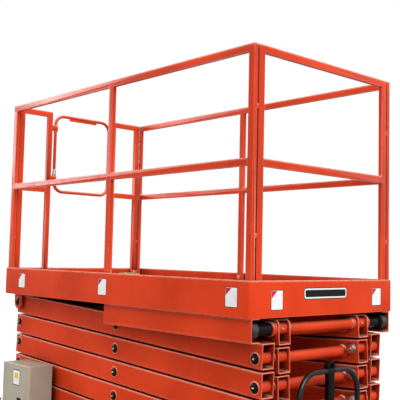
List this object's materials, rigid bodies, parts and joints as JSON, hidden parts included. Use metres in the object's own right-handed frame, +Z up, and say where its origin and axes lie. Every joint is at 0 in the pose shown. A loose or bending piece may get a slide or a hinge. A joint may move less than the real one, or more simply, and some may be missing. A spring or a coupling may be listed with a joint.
{
  "type": "mobile scissor lift",
  "caption": "Towable electric scissor lift with a guarded work platform, stacked hollow scissor arms, lift cylinders, pull-out outriggers with screw jacks and a hinged rear gate.",
  "frame": {"origin": "on the ground under the middle of the machine", "axes": "+X to the drawbar end, +Z up, +Y to the hydraulic unit side"},
  "size_m": [2.548, 1.43, 2.7035],
  "materials": {
    "red_paint": "semi-gloss orange-red enamel, scuffed along edges",
    "black_paint": "satin black enamel",
    "grey_paint": "satin light grey-beige powder coat",
    "yellow_paint": "satin orange-yellow enamel",
    "rubber": "matte solid rubber",
    "bare_steel": "ground and lightly oiled",
    "tread_plate": "worn chequered plate"
  },
  "bodies": {
    "chassis": {"chassis": "red_paint", "rear_axle": "black_paint", "rear_ladder": "red_paint", "electric_cabinet": "grey_paint", "hydraulic_unit": "black_paint"},
    "cabinet_door": {"cabinet_door": "grey_paint"},
    "drawbar": {"drawbar": "black_paint"},
    "inner_1": {"inner_frame_1": "red_paint"},
    "outer_1": {"left_outer_arm_1": "red_paint", "right_outer_arm_1": "red_paint", "base_roller_axle": "black_paint"},
    "inner_2": {"inner_frame_2": "red_paint"},
    "outer_2": {"left_outer_arm_2": "red_paint", "right_outer_arm_2": "red_paint"},
    "inner_3": {"inner_frame_3": "red_paint"},
    "outer_3": {"left_outer_arm_3": "red_paint", "right_outer_arm_3": "red_paint"},
    "inner_4": {"inner_frame_4": "red_paint"},
    "outer_4": {"left_outer_arm_4": "red_paint", "right_outer_arm_4": "red_paint"},
    "inner_5": {"inner_frame_5": "red_paint", "top_roller_axle": "black_paint"},
    "outer_5": {"left_outer_arm_5": "red_paint", "right_outer_arm_5": "red_paint"},
    "deck": {"deck": "red_paint", "floor_plate": "tread_plate", "left_guard_rail": "red_paint", "right_guard_rail": "red_paint", "front_guard_rail": "red_paint", "rear_left_guard_rail": "red_paint", "rear_right_guard_rail": "red_paint", "platform_control_box": "yellow_paint"},
    "gate": {"gate": "red_paint"},
    "lower_barrel": {"lower_cylinder_barrel": "black_paint"},
    "lower_rod": {"lower_cylinder_rod": "bare_steel"},
    "upper_barrel": {"upper_cylinder_barrel": "black_paint"},
    "upper_rod": {"upper_cylinder_rod": "bare_steel"},
    "left_caster": {"left_caster_fork": "black_paint"},
    "front_left_wheel": {"front_left_tyre": "rubber", "front_left_rim": "grey_paint"},
    "rear_left_wheel": {"rear_left_tyre": "rubber", "rear_left_rim": "grey_paint"},
    "front_left_outrigger": {"front_left_outrigger_beam": "red_paint"},
    "front_left_jack": {"front_left_jack_leg": "bare_steel"},
    "rear_left_outrigger": {"rear_left_outrigger_beam": "red_paint"},
    "rear_left_jack": {"rear_left_jack_leg": "bare_steel"},
    "right_caster": {"right_caster_fork": "black_paint"},
    "front_right_wheel": {"front_right_tyre": "rubber", "front_right_rim": "grey_paint"},
    "rear_right_wheel": {"rear_right_tyre": "rubber", "rear_right_rim": "grey_paint"},
    "front_right_outrigger": {"front_right_outrigger_beam": "red_paint"},
    "front_right_jack": {"front_right_jack_leg": "bare_steel"},
    "rear_right_outrigger": {"rear_right_outrigger_beam": "red_paint"},
    "rear_right_jack": {"rear_right_jack_leg": "bare_steel"}
  },
  "joints": [
    {"name": "scissor_lift", "type": "hinge", "parent": "chassis", "child": "inner_1", "pos_m": [-1.176, 0, 0.56], "axis": [0, -1, 0], "range_deg": [0, 56.5]},
    {"name": "centre_pin_1", "type": "hinge", "parent": "inner_1", "child": "outer_1", "pos_m": [0, 0, 0.63115], "axis": [0, -1, 0], "range_deg": [-116, 0]},
    {"name": "front_pin_1", "type": "hinge", "parent": "inner_1", "child": "outer_2", "pos_m": [1.176, 0, 0.7023], "axis": [0, -1, 0], "range_deg": [-116, 0]},
    {"name": "centre_pin_2", "type": "hinge", "parent": "outer_2", "child": "inner_2", "pos_m": [0, 0, 0.77345], "axis": [0, -1, 0], "range_deg": [0, 116]},
    {"name": "rear_pin_2", "type": "hinge", "parent": "outer_2", "child": "inner_3", "pos_m": [-1.176, 0, 0.8446], "axis": [0, -1, 0], "range_deg": [0, 116]},
    {"name": "centre_pin_3", "type": "hinge", "parent": "inner_3", "child": "outer_3", "pos_m": [0, 0, 0.91575], "axis": [0, -1, 0], "range_deg": [-116, 0]},
    {"name": "front_pin_3", "type": "hinge", "parent": "inner_3", "child": "outer_4", "pos_m": [1.176, 0, 0.9869], "axis": [0, -1, 0], "range_deg": [-116, 0]},
    {"name": "centre_pin_4", "type": "hinge", "parent": "outer_4", "child": "inner_4", "pos_m": [0, 0, 1.05805], "axis": [0, -1, 0], "range_deg": [0, 116]},
    {"name": "rear_pin_4", "type": "hinge", "parent": "outer_4", "child": "inner_5", "pos_m": [-1.176, 0, 1.1292], "axis": [0, -1, 0], "range_deg": [0, 116]},
    {"name": "centre_pin_5", "type": "hinge", "parent": "inner_5", "child": "outer_5", "pos_m": [0, 0, 1.20035], "axis": [0, -1, 0], "range_deg": [-116, 0]},
    {"name": "deck_pin", "type": "hinge", "parent": "outer_5", "child": "deck", "pos_m": [-1.176, 0, 1.2715], "axis": [0, -1, 0], "range_deg": [0, 59.5]},
    {"name": "lower_barrel_pivot", "type": "hinge", "parent": "inner_1", "child": "lower_barrel", "pos_m": [0.51942, 0, 0.65563], "axis": [0, -1, 0], "range_deg": [-127, 0]},
    {"name": "lower_rod_slide", "type": "slide", "parent": "lower_barrel", "child": "lower_rod", "axis": [-0.9998, 0, 0.0205], "range_m": [0, 0.2467]},
    {"name": "upper_barrel_pivot", "type": "hinge", "parent": "inner_3", "child": "upper_barrel", "pos_m": [0.51942, 0, 0.94023], "axis": [0, -1, 0], "range_deg": [-127, 0]},
    {"name": "upper_rod_slide", "type": "slide", "parent": "upper_barrel", "child": "upper_rod", "axis": [-0.9998, 0, 0.0205], "range_m": [0, 0.2467]},
    {"name": "left_caster_swivel", "type": "hinge", "parent": "chassis", "child": "left_caster", "pos_m": [0.8, -0.43, 0.345], "axis": [0, 0, 1], "continuous": true},
    {"name": "front_left_wheel_spin", "type": "hinge", "parent": "left_caster", "child": "front_left_wheel", "pos_m": [0.75, -0.43, 0.16], "axis": [0, 1, 0], "continuous": true},
    {"name": "rear_left_wheel_spin", "type": "hinge", "parent": "chassis", "child": "rear_left_wheel", "pos_m": [-0.8, -0.47, 0.16], "axis": [0, 1, 0], "continuous": true},
    {"name": "front_left_outrigger_slide", "type": "slide", "parent": "chassis", "child": "front_left_outrigger", "axis": [0, -1, 0], "range_m": [0, 0.6]},
    {"name": "front_left_jack_screw", "type": "slide", "parent": "front_left_outrigger", "child": "front_left_jack", "axis": [0, 0, -1], "range_m": [0, 0.15]},
    {"name": "rear_left_outrigger_slide", "type": "slide", "parent": "chassis", "child": "rear_left_outrigger", "axis": [0, -1, 0], "range_m": [0, 0.6]},
    {"name": "rear_left_jack_screw", "type": "slide", "parent": "rear_left_outrigger", "child": "rear_left_jack", "axis": [0, 0, -1], "range_m": [0, 0.15]},
    {"name": "right_caster_swivel", "type": "hinge", "parent": "chassis", "child": "right_caster", "pos_m": [0.8, 0.43, 0.345], "axis": [0, 0, 1], "continuous": true},
    {"name": "front_right_wheel_spin", "type": "hinge", "parent": "right_caster", "child": "front_right_wheel", "pos_m": [0.75, 0.43, 0.16], "axis": [0, 1, 0], "continuous": true},
    {"name": "rear_right_wheel_spin", "type": "hinge", "parent": "chassis", "child": "rear_right_wheel", "pos_m": [-0.8, 0.47, 0.16], "axis": [0, 1, 0], "continuous": true},
    {"name": "front_right_outrigger_slide", "type": "slide", "parent": "chassis", "child": "front_right_outrigger", "axis": [0, 1, 0], "range_m": [0, 0.6]},
    {"name": "front_right_jack_screw", "type": "slide", "parent": "front_right_outrigger", "child": "front_right_jack", "axis": [0, 0, -1], "range_m": [0, 0.15]},
    {"name": "rear_right_outrigger_slide", "type": "slide", "parent": "chassis", "child": "rear_right_outrigger", "axis": [0, 1, 0], "range_m": [0, 0.6]},
    {"name": "rear_right_jack_screw", "type": "slide", "parent": "rear_right_outrigger", "child": "rear_right_jack", "axis": [0, 0, -1], "range_m": [0, 0.15]},
    {"name": "drawbar_tilt", "type": "hinge", "parent": "chassis", "child": "drawbar", "pos_m": [1.25, 0, 0.445], "axis": [0, 1, 0], "range_deg": [0, 95]},
    {"name": "cabinet_door_swing", "type": "hinge", "parent": "chassis", "child": "cabinet_door", "pos_m": [-0.997, -0.715, 0.69], "axis": [0, 0, -1], "range_deg": [0, 100]},
    {"name": "gate_swing", "type": "hinge", "parent": "deck", "child": "gate", "pos_m": [-1.2105, -0.245, 2.39], "axis": [0, 0, -1], "range_deg": [0, 90], "stiffness_Nm_per_rad": 2}
  ],
  "couplings": [
    {"joint": "centre_pin_1", "follows": "scissor_lift", "ratio": -2},
    {"joint": "front_pin_1", "follows": "scissor_lift", "ratio": -2},
    {"joint": "centre_pin_2", "follows": "scissor_lift", "ratio": 2},
    {"joint": "rear_pin_2", "follows": "scissor_lift", "ratio": 2},
    {"joint": "centre_pin_3", "follows": "scissor_lift", "ratio": -2},
    {"joint": "front_pin_3", "follows": "scissor_lift", "ratio": -2},
    {"joint": "centre_pin_4", "follows": "scissor_lift", "ratio": 2},
    {"joint": "rear_pin_4", "follows": "scissor_lift", "ratio": 2},
    {"joint": "centre_pin_5", "follows": "scissor_lift", "ratio": -2},
    {"joint": "deck_pin", "follows": "scissor_lift", "ratio": 1},
    {"joint": "lower_barrel_pivot", "follows": "scissor_lift", "ratio": -2.1947},
    {"joint": "lower_rod_slide", "follows": "scissor_lift", "m_per_rad": 0.23801},
    {"joint": "upper_barrel_pivot", "follows": "scissor_lift", "ratio": -2.1947},
    {"joint": "upper_rod_slide", "follows": "scissor_lift", "m_per_rad": 0.23801}
  ]
}
